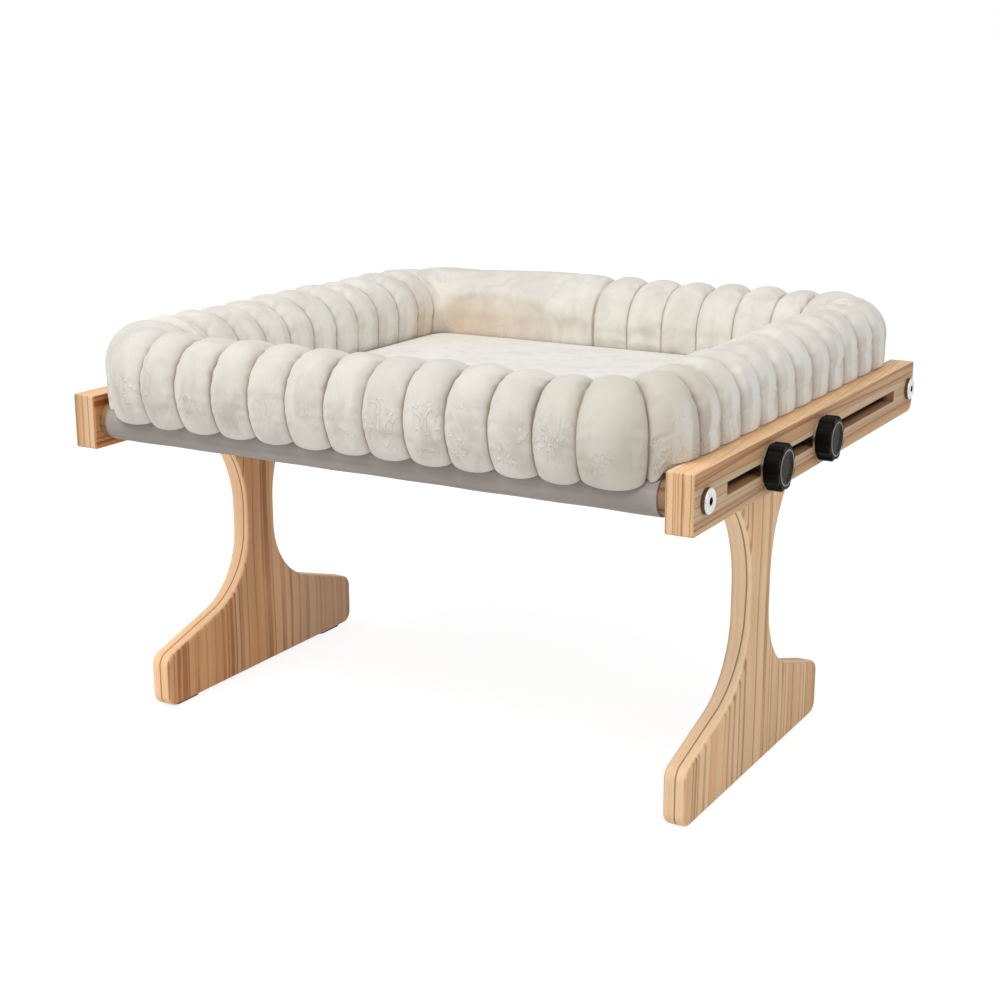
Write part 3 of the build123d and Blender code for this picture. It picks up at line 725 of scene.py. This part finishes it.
def section_frame(run):
    """Where a cross-section has its foot, which way it heads outward, and how wide it is."""
    x, y = outline_point(run)
    if abs(y) <= PIVOT_Y:
        return (HALF_WIDTH - SIDE_ROLL, y), (1.0, 0.0), SIDE_ROLL
    end = 1 if y > 0 else -1
    if x <= PIVOT_X:
        return (x, end * (HALF_LENGTH - END_ROLL)), (0.0, float(end)), END_ROLL
    reach_x, reach_y = x - PIVOT_X, y - end * PIVOT_Y
    reach = math.hypot(reach_x, reach_y)
    heading = (reach_x / reach, reach_y / reach)
    foot = (PIVOT_X + INNER_CORNER * heading[0], end * PIVOT_Y + INNER_CORNER * heading[1])
    return foot, heading, reach - INNER_CORNER


def foot_points(foot, heading, width, drawn, low):
    """Three points where the foot turns up: on the rail, beside it, or as a lip over the dowel's sleeve."""
    dowel_y = abs(FRONT_DOWEL if heading[1] < 0 else REAR_DOWEL)
    wedge = dowel_y + DOWEL_Z + (SLEEVE_OUTER + 2 * SOFT_GAP) * math.sqrt(2)
    cornering = (2 * heading[0] * heading[1]) ** 2
    reach = width - LIP_INSET + cornering * (CORNER_LIP_REACH - SEAM_DEPTH * drawn)
    if heading[0] > 0:
        reach = min(reach, (RAIL_INNER - 2 * SOFT_GAP - foot[0]) / heading[0])
    tip_z = wedge - abs(foot[1]) - abs(heading[1]) * reach
    if tip_z > BOTTOM - SOFT_GAP:
        toe = width - TOE_INSET - TOE_DRAW * drawn
        rail_reach = (RAIL_INNER - SOFT_GAP - foot[0]) / heading[0]
        if toe < rail_reach - TOE_MARGIN:
            return [(toe - back, BOTTOM + rise) for back, rise in LOW_TOE]
        bend = min(rail_reach, toe - TOE_BEND)
        seat = RAIL_TOP + SOFT_GAP
        return [(bend - TOE_BEND, BOTTOM), (bend, seat), (toe, seat)]
    tip_z = max(tip_z, SLING_TOP - LIP_DROP + (LIP_SEAM_RISE + CORNER_SEAM_RISE * cornering) * low)
    lip_start = (wedge - BOTTOM - abs(foot[1])) / abs(heading[1])
    lip_tip = (wedge - tip_z - abs(foot[1])) / abs(heading[1])
    nose_share = NOSE_SHARE - CORNER_NOSE_SHARE * cornering
    nose = lip_tip + nose_share * (width - lip_tip - SEAM_DEPTH * drawn)
    return [(lip_start, BOTTOM), (lip_tip, tip_z), (nose, tip_z - NOSE_DROP)]


def section_loop(run, drawn, low, depth):
    """Closed cross-section as (outward, height) pairs: foot, lip, outer side, crown and inner wall.

    The second result says how far each point is free to move when the cover is filled.
    """
    foot, heading, width = section_frame(run)
    share = min(max((run - CORNER_X) / CORNER_RUN, 0), 1)
    crown = SLING_TOP + CROWN + CROWN_RISE * share - SEAM_CROWN_DEPTH * drawn * depth
    outer = width - SEAM_DEPTH * drawn * depth
    inner = SEAM_INNER_DEPTH * drawn * depth
    toe = foot_points(foot, heading, width, drawn, low)
    base, side = (FOOT_INSET, BOTTOM), (outer, crown - SHOULDER)
    top, wall = (outer - SHOULDER, crown), (inner, crown - INNER_WALL)
    pieces = [
        np.linspace(base, toe[0], FOOT_POINTS)[:-1],
        np.linspace(toe[0], toe[1], LIP_POINTS)[:-1],
        np.linspace(toe[1], toe[2], NOSE_POINTS)[:-1],
        tangent_arc(side, toe[2], (0, -1), SIDE_POINTS)[::-1],
        [side],
        tangent_arc(side, top, (0, 1), SIDE_POINTS),
        tangent_arc(top, wall, (-1, 0), CROWN_POINTS),
        tangent_arc(wall, base, (0, -1), WALL_POINTS)[:-1],
    ]
    under = sum(len(piece) for piece in pieces[:3])
    outside = under + sum(len(piece) for piece in pieces[3:6])
    points = smooth_closed(np.vstack(pieces))
    rise = points[:, 1] - BOTTOM
    rise[under:outside] = points[under:outside, 1] - toe[2][1]
    free = np.clip(rise / FREE_RISE, 0, 1)
    free[:under] = 0
    return points, free


def seam_runs(plain):
    """Runs of the seams on one half; the plain half has none from its rear corner to the middle of the back."""
    front = [PITCH * (count + 0.5) for count in range((CHANNELS + 1) // 2)]
    first = SIDE_START - CORNER_SEAM_FRONT
    last = SIDE_END - PLAIN_SEAM_INSET if plain else SIDE_END + CORNER_SEAM_REAR
    side = [first + (last - first) * count / CHANNELS for count in range(CHANNELS + 1)]
    corner = CORNER_X + CORNER_RUN / 2
    if plain:
        return sorted([*front, corner, *side, HALF_RUN - front[0]])
    return sorted([*front, corner, *side, HALF_RUN - corner, *(HALF_RUN - run for run in front)])


def waves(turn, kinds, phases):
    return sum(np.sin(turn * number + phase) * height for (number, height), phase in zip(kinds, phases))


def rib_sections(start, end):
    """One rib as sections of points, creases, crushes, freedoms and sewn marks; it is full in its middle."""
    length = end - start
    plain = length > CORNER_RUN
    half = PLAIN_FADE if plain else length / 2
    count = round(length / PLAIN_STEP) if plain else RIB_STEPS
    puff = rng.uniform(*PUFF)
    swell = rng.uniform(*SWELL)
    worn = rng.uniform(*WEAR)
    phase = rng.uniform(0, 2 * math.pi, 4)
    for step in range(count):
        share = step / count if plain else (1 - math.cos(math.pi * step / count)) / 2
        run = start + length * share
        near = min(run - start, end - run) / half
        gone = max(0.0, 1 - near)
        drawn = 1 - (1 - gone ** RIB_POWER) ** (1 / RIB_POWER)
        low = 1 - math.sqrt(1 - gone ** 2)
        full = run % (2 * HALF_RUN)
        flip = 1
        if full > HALF_RUN:
            full, flip = 2 * HALF_RUN - full, -1
        foot, heading, _ = section_frame(full)
        section, free = section_loop(full, drawn, low, COVER_DEPTH_SHARE * puff)
        turn = np.linspace(0, 2 * math.pi, len(section), endpoint=False)
        out = section - section.mean(0)
        out = out / np.linalg.norm(out, axis=1)[:, None]
        # Small gathers fan out of each seam, and the filling sits a little unevenly
        gather = math.exp(-near * GATHER_FADE) * (1 - math.exp(-near * GATHER_START))
        ripple = waves(turn, GATHERS, (phase[0], phase[1] + near))
        lumps = waves(turn, LUMPS, (phase[3], phase[1]))
        grow = ripple * gather * GATHER_SHARE + (lumps + swell - SLACK) * (1 - drawn)
        section = section + out * (grow * free)[:, None]
        across = foot[0] + heading[0] * section[:, 0]
        height = section[:, 1]
        # Over the rail nothing hangs lower than the rail's top
        over_rail = across > RAIL_INNER - SOFT_GAP
        height = np.where(over_rail, np.maximum(height, RAIL_TOP + SOFT_GAP), height)
        points = np.stack([flip * across, foot[1] + heading[1] * section[:, 0], height], 1)
        below = np.clip((CRUSH_TOP[0] - height) / CRUSH_TOP[1], 0, 1)
        above = np.clip((height - CRUSH_FOOT[0]) / CRUSH_FOOT[1], 0, 1)
        crushed = below * above * worn * (1.0 if foot[1] < FRONT_PART else CRUSH_BEHIND) * (1 - drawn)
        sewn = np.full(len(section), step == 0) | (free < SEWN_FREEDOM)
        yield points, np.full(len(section), drawn ** CREASE_POWER), crushed, free, sewn


def build_bolster(material):
    """The ring, rib by rib, which is then filled."""
    seams = sorted([*seam_runs(False), *(2 * HALF_RUN - run for run in seam_runs(True))])
    ends = [*seams[1:], seams[0] + 2 * HALF_RUN]
    sections = [section for start, end in zip(seams, ends) for section in rib_sections(start, end)]
    points, crease, crushed, free, sewn = (np.concatenate(values) for values in zip(*sections))
    rows, cols = len(sections), len(sections[0][0])
    row, col = np.meshgrid(np.arange(rows), np.arange(cols), indexing="ij")
    next_row, next_col = (row + 1) % rows, (col + 1) % cols
    corners = [row * cols + col, row * cols + next_col, next_row * cols + next_col, next_row * cols + col]
    faces = np.stack(corners, 2).reshape(-1, 4)
    # crease tells how far into a seam's fold a point lies; the velvet paints shade by it.
    attributes = {"crease": ("FLOAT", crease), "crushed": ("FLOAT", crushed)}
    cover = make_piece("bolster_cover", points, faces, material, attributes)
    fill_cover(cover, sewn, free * MOST_MOVE)
    subdivide(cover)
    return cover


def build_floor_pad(material):
    """A thin pad with drawn-in edges that fills the ring; its face lies in soft swells."""
    cells, squareness = PAD_CELLS, PAD_SQUARENESS
    low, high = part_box("floor_pad")
    half_x, half_y = (high.x - low.x) / 2 / MM, (high.y - low.y) / 2 / MM
    bottom, crown = low.z / MM, high.z / MM - low.z / MM
    even = np.linspace(-1, 1, cells + 1)
    spots = 0.5 * np.sin(even * math.pi / 2) + 0.5 * even
    u, v = np.meshgrid(spots, spots, indexing="ij")
    far = np.maximum(np.abs(u), np.abs(v))
    # The square grid is drawn onto a rectangle with small round corners
    norm = (np.abs(u) ** squareness + np.abs(v) ** squareness) ** (1 / squareness)
    scale = np.where(far > 0, far / np.maximum(norm, TINY), 1)
    x, y = u * scale * half_x, v * scale * half_y
    inset = (1 - far) * min(half_x, half_y)
    rise = crown * sum(share * (1 - np.exp(-inset / reach)) for share, reach in PAD_RISE)
    swell = 0.5 * np.sin(x / 31 + 1.3) * np.cos(y / 37) + 0.3 * np.sin(x / 17 + y / 23)
    top = bottom + rise + swell * np.clip(inset / 40, 0, 1) * PAD_SWELL
    upper = np.stack([x, y, top], 2).reshape(-1, 3)
    lower = np.stack([x, y, np.full_like(top, bottom)], 2).reshape(-1, 3)
    # Both layers meet in the middle of the edge, and share its points
    edge = far.reshape(-1) > 1 - TINY
    upper[edge] = lower[edge] = (upper[edge] + lower[edge]) / 2
    across = cells + 1
    layer = across * across
    shared = np.arange(2 * layer)
    shared[layer:][edge] = np.arange(layer)[edge]
    faces = []
    for i in range(cells):
        for j in range(cells):
            face = (i * across + j, (i + 1) * across + j, (i + 1) * across + j + 1, i * across + j + 1)
            faces += [face, tuple(shared[layer + k] for k in face[::-1])]
    used, index = np.unique(np.array(faces).ravel(), return_inverse=True)
    # The crease near the pad's edge sets the velvet's painted shade there.
    crease = np.concatenate([np.exp(-inset.ravel() / 2.5) * PAD_CREASE] * 2)[used]
    attributes = {"crease": ("FLOAT", crease), "crushed": ("FLOAT", np.full(len(used), PAD_CRUSHED))}
    return make_piece("floor_pad_cover", np.vstack([upper, lower])[used], index.reshape(-1, 4), material, attributes)


def sling_path():
    """The cloth's middle line in (y, z), from one tongue round both dowels to the other, in mm."""
    seam = np.array([SEAM_REACH, PANEL_Z - TONGUE_DROP - DOWEL_Z])
    lean = math.atan2(seam[1], seam[0])
    touch = lean - math.acos(CLOTH_RADIUS / np.linalg.norm(seam))
    turns = np.linspace(touch, math.pi / 2 - 2 * math.pi, RING_POINTS)
    ring = CLOTH_RADIUS * np.stack([np.cos(turns), np.sin(turns)], 1)
    tongue = [(seam[0] + TONGUE_LENGTH, seam[1]), (seam[0] + TONGUE_LENGTH / 2, seam[1])]
    half = np.vstack([tongue, seam, 0.5 * (seam + ring[0]), ring])
    front = np.stack([FRONT_DOWEL + half[:, 0], DOWEL_Z + half[:, 1]], 1)
    rear = np.stack([REAR_DOWEL - half[:, 0], DOWEL_Z + half[:, 1]], 1)[::-1]
    panel = np.linspace(front[-1], rear[0], PANEL_POINTS)[1:-1]
    return np.vstack([front, panel, rear])


def build_sling(material):
    """One piece of cloth: a sleeve round each dowel and the stretched panel between them."""
    line = sling_path()
    step = np.linalg.norm(np.diff(line, axis=0), axis=1)
    length = np.concatenate([[0], np.cumsum(step)])
    tangent = np.gradient(line, axis=0)
    tangent /= np.linalg.norm(tangent, axis=1)[:, None]
    normal = np.stack([-tangent[:, 1], tangent[:, 0]], 1)
    low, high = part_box("front_sleeve")
    rows, cols = SLING_ROWS, len(line)
    xs = np.linspace(low.x / MM, high.x / MM, rows)
    on_sleeve = np.abs(line[:, 1] - PANEL_Z) > 0.5
    points, cloth = [], []
    for x in xs:
        wave = sum(height * np.sin(x / wide + length / long) for wide, long, height in SLEEVE_WAVES)
        wave = np.where(on_sleeve, wave, 0)
        for sign in (1, -1):
            shift = normal * (sign * CLOTH_THICKNESS / 2 + wave[:, None])
            points.append(np.column_stack([np.full(cols, x), line + shift]))
            cloth.append(np.column_stack([np.full(cols, x * MM), length * MM, np.zeros(cols)]))

    def at(i, layer, j):
        return (2 * i + layer) * cols + j

    faces = []
    for i in range(rows - 1):
        for j in range(cols - 1):
            faces.append((at(i, 0, j), at(i + 1, 0, j), at(i + 1, 0, j + 1), at(i, 0, j + 1)))
            faces.append((at(i, 1, j + 1), at(i + 1, 1, j + 1), at(i + 1, 1, j), at(i, 1, j)))
        for j, flip in ((0, False), (cols - 1, True)):
            face = (at(i, 0, j), at(i, 1, j), at(i + 1, 1, j), at(i + 1, 0, j))
            faces.append(face[::-1] if flip else face)
    for i, flip in ((0, False), (rows - 1, True)):
        for j in range(cols - 1):
            face = (at(i, 0, j), at(i, 1, j), at(i, 1, j + 1), at(i, 0, j + 1))
            faces.append(face[::-1] if flip else face)
    piece = make_piece("sling", np.vstack(points), faces, material, {"cloth": ("FLOAT_VECTOR", np.vstack(cloth))})
    return piece, (xs[-1] - xs[0]) * MM, length[-1] * MM


# Putting it together

def dress(name, material):
    piece = nodes[name]
    piece.data.materials.clear()
    piece.data.materials.append(material)


add_camera()
add_world()
for light in LIGHTS:
    add_area_light(*light)

knob_centres = [middle("right_front_knob"), middle("right_rear_knob")]
bolt_centres = [(FRONT_DOWEL * MM, DOWEL_Z * MM), (REAR_DOWEL * MM, DOWEL_Z * MM)]
knob_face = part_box("right_front_knob")[1].x
bolt_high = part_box("right_frame_bolts")[1]
right_face, left_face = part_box("right_leg")[1].x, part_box("left_leg")[1].x

# Height, wave, reach, phase and strength of each streak on a rail's face
rail_streaks = (
    (rail_low.z + 0.0078, 0.0020, 9.0, 0.4, 1.0),
    (rail_low.z + 0.0108, 0.0016, 10.0, 0.9, 0.8),
    (rail_low.z + 0.0342, 0.0024, 11.0, 2.2, 1.0),
    (rail_low.z + 0.0372, 0.0014, 7.0, 0.6, 0.8),
)
# Height, half height, half length and face of the slot
slot_space = (DOWEL_Z * MM, SLOT_HALF_HEIGHT, SLOT_HALF_LENGTH, rail_high.x)
as_rail = {
    "along": Y, "broad": Z, "edge": X, "spacing": 0.0095, "lean": 0.09, "streaks": rail_streaks, "slot": slot_space,
    "pale_band": (rail_low.z + rail_high.z) / 2, "top_light": 0.5,
}
as_leg = {"along": Z, "broad": Y, "edge": X, "spacing": 0.0115, "edge_grain": 0.14, "edge_pale": 0.95}
# The tints paint light and shade: the legs and the right rail lighter, the rails' broad faces darker, the left parts
# warmer as in shade, the bare dowel dark as in shadow.
rail_wood = [
    wood("pine_rail_right", 3.7, tint=(1.08, 1.05, 1.02), broad_face_shade=(0.80, 0.79, 0.78), **as_rail),
    wood("pine_rail_left", 8.1, tint=(0.98, 0.94, 0.91), broad_face_shade=(0.91, 0.62, 0.38), **as_rail),
]
right_seam = (right_face - RIGHT_SEAM_FOOT, right_face - SEAM_TOP)
left_seam = (left_face - LEFT_SEAM_FOOT, left_face - SEAM_TOP)
leg_wood = [
    wood("pine_leg_right", 1.3, tint=(1.13, 1.12, 1.10), seam=right_seam, **as_leg),
    wood("pine_leg_left", 5.9, tint=(1.25, 1.11, 1.01), seam=left_seam, grey_heel=0.42, **as_leg),
]
dowel_wood = wood("pine_dowel", 6.4, along=X, broad=Y, edge=Y, tint=(0.42, 0.39, 0.36))
bolt_steel = steel("zinc_bolt_heads", bolt_centres, (bolt_high.x, SOCKET_RADIUS, bolt_high.z - DOWEL_Z * MM))
plain_steel = steel("zinc_washers", knob_centres)
cap_low, cap_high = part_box("right_front_knob_cap")
rim_inner = (cap_high.z - cap_low.z) / 2 + RIM_GAP
knob_rim = (rim_inner, rim_inner + RIM_WIDTH, knob_face)
knob_black = plastic("black_knob", KNOB, KNOB_CLOUD, 0.05, knob_centres, knob_rim)
cap_grey = plastic("dark_cap", CAP, CAP_CLOUD, 0.06)
pad_rubber = rubber("pad_rubber")
insert_brass = brass("insert_brass")

for index, side in enumerate(("right", "left")):
    dress(side + "_rail", rail_wood[index])
    dress(side + "_leg", leg_wood[index])
    dress(side + "_frame_bolts", bolt_steel)
    dress(side + "_dowel_inserts", plain_steel)
    dress(side + "_clamp_bolts", plain_steel)
    dress(side + "_washers", plain_steel)
    for end in ("front", "rear"):
        dress(f"{side}_{end}_knob", knob_black)
        dress(f"{side}_{end}_knob_cap", cap_grey)
        dress(f"{side}_{end}_knob_insert", insert_brass)
        dress(f"{side}_{end}_foot_pad", pad_rubber)
for name in ("front_dowel", "rear_dowel"):
    dress(name, dowel_wood)

cream = velvet("cream_velvet", (232, 228, 218), (221, 214, 204), 0.6)
pale_cream = velvet("cream_velvet_floor", (241, 238, 231), (236, 231, 223), 0.18)
grey = sling_cloth("grey_cloth", HEM * MM)

bolster = build_bolster(cream)
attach(bolster, "cushion")
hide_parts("bolster")

floor_cover = build_floor_pad(pale_cream)
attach(floor_cover, "cushion")
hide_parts("floor_pad")

sling, sling_width, sling_length = build_sling(grey)
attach(sling, "frame")
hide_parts("front_sleeve", "rear_sleeve", "sling_panel")

add_floor()

bpy.context.scene.view_settings.view_transform = "Standard"
